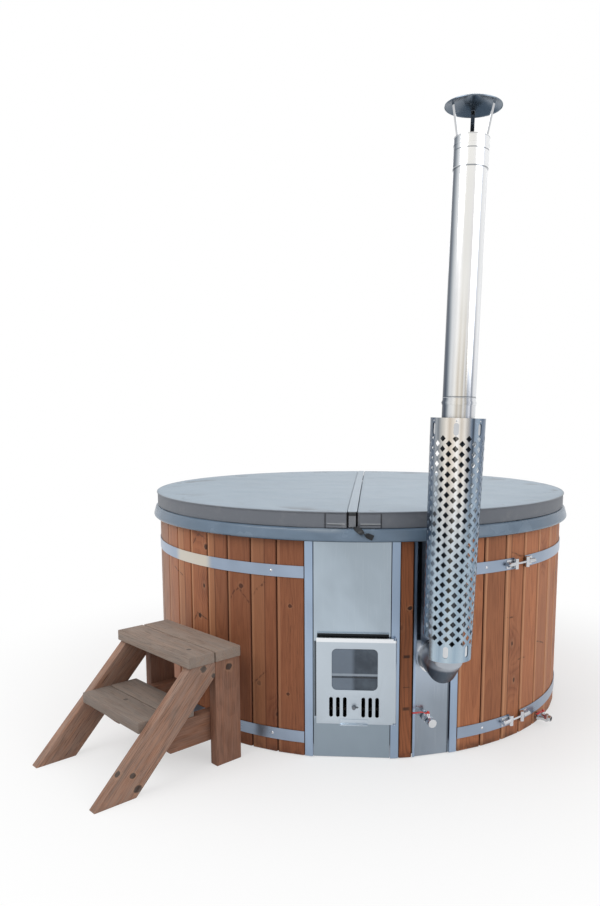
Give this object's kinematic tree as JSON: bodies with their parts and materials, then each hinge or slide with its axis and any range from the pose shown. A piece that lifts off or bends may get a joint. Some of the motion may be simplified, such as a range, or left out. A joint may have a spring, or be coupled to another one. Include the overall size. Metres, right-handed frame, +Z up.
{
  "type": "wood-fired hot tub",
  "caption": "Round wooden hot tub with steel hoops, a built-in wood stove with a glazed door, a flue with a pierced heat shield, a folding cover and free-standing steps.",
  "frame": {"origin": "on the tub's axis at ground level, in the plane of the joists' undersides", "axes": "+Z up, -Y towards the stove door, +X to the right when the door is looked at"},
  "size_m": [2.2981, 2.5156, 2.4855],
  "materials": {
    "joist_wood": "rough sawn",
    "board_wood": "stained, satin",
    "step_wood": "weathered",
    "liner_plastic": "moulded, semi-gloss",
    "hoop_steel": "stainless",
    "strip_steel": "stainless",
    "panel_steel": "bright stainless",
    "bolt_steel": "bright",
    "door_aluminium": "satin",
    "door_glass": "clear over soot",
    "stove_steel": "plain",
    "stove_aluminium": "welded plate",
    "grate_iron": "rough",
    "flue_steel": "mirror bright",
    "cap_steel": "heat tinted",
    "shield_steel": "mirror bright",
    "valve_chrome": "plated",
    "lever_red": "gloss",
    "cover_cloth": "coated cloth",
    "strap_web": "woven"
  },
  "bodies": {
    "tub": {"base_joists": "joist_wood", "floor_board": "joist_wood", "liner": "liner_plastic", "top_ring": "joist_wood", "boards": "board_wood", "narrow_board": "board_wood", "upper_hoop": "hoop_steel", "lower_hoop": "hoop_steel", "upper_hoop_lugs": "hoop_steel", "lower_hoop_lugs": "hoop_steel", "upper_hoop_bolt": "bolt_steel", "lower_hoop_bolt": "bolt_steel", "hoop_screws": "bolt_steel", "stove_panel": "panel_steel", "flue_panel": "panel_steel", "stove_panel_strips": "strip_steel", "flue_panel_strips": "strip_steel", "hinge_rod": "bolt_steel", "hinge_ears": "strip_steel", "firebox": "stove_aluminium", "water_jacket": "stove_aluminium", "fire_grate": "grate_iron", "smoke_box": "stove_steel", "circulation_pipes": "flue_steel", "flue_stub": "flue_steel", "flue_collar": "flue_steel", "flue_elbow": "flue_steel", "lower_pipe": "flue_steel", "pipe_clamp": "flue_steel", "upper_pipe": "flue_steel", "top_sleeve": "flue_steel", "cap_legs": "flue_steel", "rain_cap": "cap_steel", "heat_shield": "shield_steel", "shield_brackets": "flue_steel", "stove_drain_pipe": "valve_chrome", "stove_valve": "valve_chrome", "tub_drain_pipe": "valve_chrome", "tub_valve": "valve_chrome"},
    "stove_door": {"stove_door": "door_aluminium", "door_glass": "door_glass", "glass_retainer": "stove_steel", "door_pull": "door_aluminium", "air_slide_guides": "stove_steel"},
    "air_slide": {"air_slide": "stove_steel"},
    "stove_valve_lever": {"stove_valve_lever": "lever_red"},
    "tub_valve_lever": {"tub_valve_lever": "lever_red"},
    "drain_cap": {"drain_cap": "valve_chrome"},
    "cover_left_half": {"cover_left": "cover_cloth", "cover_fold": "cover_cloth"},
    "cover_right_half": {"cover_right": "cover_cloth", "cover_strap": "strap_web"},
    "steps": {"step_left_side": "step_wood", "step_right_side": "step_wood", "step_posts": "step_wood", "step_rails": "step_wood", "upper_tread": "step_wood", "lower_tread": "step_wood"}
  },
  "joints": [
    {"name": "stove_door_hinge", "type": "hinge", "parent": "tub", "child": "stove_door", "pos_m": [0.172, -0.99794, 0.329], "axis": [0, 0, 1], "range_deg": [0, 105]},
    {"name": "air_slide_travel", "type": "slide", "parent": "stove_door", "child": "air_slide", "axis": [1, 0, 0], "range_m": [0, 0.01375]},
    {"name": "stove_valve_turn", "type": "hinge", "parent": "tub", "child": "stove_valve_lever", "pos_m": [0.30649, -0.97766, 0.19], "axis": [0, 0, 1], "range_deg": [0, 90]},
    {"name": "tub_valve_turn", "type": "hinge", "parent": "tub", "child": "tub_valve_lever", "pos_m": [0.84825, -0.58955, 0.055], "axis": [0, 0, 1], "range_deg": [0, 90]},
    {"name": "drain_cap_off", "type": "slide", "parent": "tub", "child": "drain_cap", "axis": [0.3279, -0.9447, 0], "range_m": [0, 0.025]},
    {"name": "cover_lift", "type": "slide", "parent": "tub", "child": "cover_left_half", "axis": [0, 0, 1], "range_m": [0, 0.5]},
    {"name": "cover_fold_over", "type": "hinge", "parent": "cover_left_half", "child": "cover_right_half", "pos_m": [0, 0, 1.0193], "axis": [0, -1, 0], "range_deg": [0, 178]},
    {"name": "steps_away", "type": "slide", "parent": "tub", "child": "steps", "axis": [-0.6743, -0.7385, 0], "range_m": [0, 0.5]}
  ]
}
